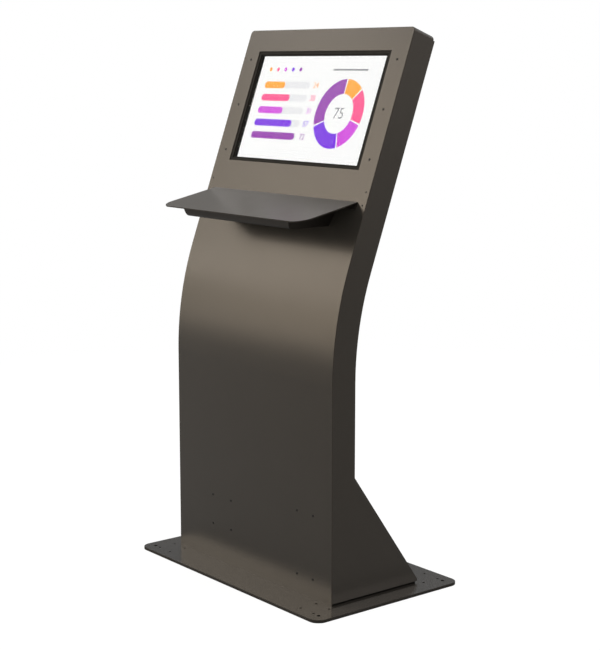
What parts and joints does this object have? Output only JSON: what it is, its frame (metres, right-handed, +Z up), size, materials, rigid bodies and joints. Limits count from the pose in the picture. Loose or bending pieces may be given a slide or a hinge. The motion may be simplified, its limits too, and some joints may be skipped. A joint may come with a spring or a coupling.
{
  "type": "screen kiosk",
  "caption": "Free-standing sheet-steel kiosk on a base plate, with a curved column, a leaning wide touch display, a sloping shelf below it and a lockable wedge foot.",
  "frame": {"origin": "centre of the base plate's underside, on the floor", "axes": "+Z up, the display faces -Y, +X is the right-hand side of someone who faces it"},
  "size_m": [0.826, 0.51, 1.5116],
  "materials": {
    "dark_bronze_paint": "satin powder coat",
    "black_bezel": "satin black",
    "clear_glass": "polished",
    "display_face": "smooth black",
    "zinc_steel": "zinc plated",
    "black_screw": "black oxide",
    "steel_sheet": "galvanised",
    "black_plastic": "moulded",
    "white_plastic": "moulded",
    "red_plastic": "moulded",
    "circuit_board": "solder mask",
    "bare_aluminium": "machined",
    "black_rubber": "matte",
    "nickel_lock": "nickel plated"
  },
  "bodies": {
    "kiosk": {"backlight_unit": "steel_sheet", "base_bolts": "zinc_steel", "base_plate": "dark_bronze_paint", "cable_grommet": "black_rubber", "column_screws": "black_screw", "computer_board": "circuit_board", "computer_bracket": "steel_sheet", "computer_case": "black_plastic", "computer_drive": "bare_aluminium", "computer_heat_sink": "bare_aluminium", "computer_lid": "black_plastic", "computer_lid_screws": "zinc_steel", "computer_mount_screws": "zinc_steel", "display_bezel": "black_bezel", "display_screws": "black_screw", "exhaust_fan_frame": "black_plastic", "exhaust_fan_screws": "black_screw", "foot_door_hinge_barrels": "dark_bronze_paint", "foot_door_hinge_pins": "zinc_steel", "foot_plate": "dark_bronze_paint", "foot_strip_left": "steel_sheet", "foot_strip_right": "steel_sheet", "front_panel": "dark_bronze_paint", "head_back_cover": "dark_bronze_paint", "lcd_panel": "display_face", "monitor_board": "circuit_board", "monitor_bracket_left": "steel_sheet", "monitor_bracket_right": "steel_sheet", "monitor_case": "steel_sheet", "power_bracket": "steel_sheet", "power_strip": "white_plastic", "power_strip_screws": "zinc_steel", "power_supply": "black_plastic", "rear_cover_screws": "black_screw", "rear_middle_panel": "dark_bronze_paint", "rear_sill": "dark_bronze_paint", "rear_strip_left": "steel_sheet", "rear_strip_right": "steel_sheet", "shelf_bolts": "zinc_steel", "shelf_box": "dark_bronze_paint", "shelf_plate": "dark_bronze_paint", "shelf_rail": "steel_sheet", "shelf_rail_screws": "black_screw", "side_panel_left": "dark_bronze_paint", "side_panel_right": "dark_bronze_paint", "supply_strap": "steel_sheet", "supply_strap_screws": "zinc_steel", "top_cap": "dark_bronze_paint", "touch_glass": "clear_glass", "wedge_rail": "steel_sheet"},
    "foot_door": {"foot_door": "dark_bronze_paint", "foot_door_hinge_leaves": "dark_bronze_paint", "foot_door_hinge_screws": "black_screw", "foot_lock_housing": "nickel_lock"},
    "foot_lock": {"foot_lock_plug": "nickel_lock", "foot_lock_cam": "nickel_lock"},
    "computer_fan": {"computer_fan": "black_plastic"},
    "exhaust_fan": {"exhaust_fan_rotor": "black_plastic"},
    "power_button": {"computer_power_button": "black_plastic"},
    "power_switch": {"power_switch": "red_plastic"}
  },
  "joints": [
    {"name": "foot_door_hinge", "type": "hinge", "parent": "kiosk", "child": "foot_door", "pos_m": [-0.346, 0.15643, 0.02342], "axis": [0, -0.5767, 0.817], "range_deg": [0, 100]},
    {"name": "foot_lock_turn", "type": "hinge", "parent": "foot_door", "child": "foot_lock", "pos_m": [0.318, 0.04343, 0.17622], "axis": [0, 0.817, 0.5767], "range_deg": [0, 90]},
    {"name": "computer_fan_spin", "type": "hinge", "parent": "kiosk", "child": "computer_fan", "pos_m": [-0.1155, -0.1192, 0.174], "axis": [0, 1, 0], "continuous": true},
    {"name": "exhaust_fan_spin", "type": "hinge", "parent": "kiosk", "child": "exhaust_fan", "pos_m": [0, -0.077, 0.48], "axis": [0, 1, 0], "continuous": true},
    {"name": "power_button_press", "type": "slide", "parent": "kiosk", "child": "power_button", "axis": [-1, 0, 0], "range_m": [0, 0.001], "stiffness_N_per_m": 400, "springref_m": -0.001},
    {"name": "power_switch_rock", "type": "hinge", "parent": "kiosk", "child": "power_switch", "pos_m": [0.2375, -0.1035, 0.2385], "axis": [-1, 0, 0], "range_deg": [0, 16]}
  ]
}
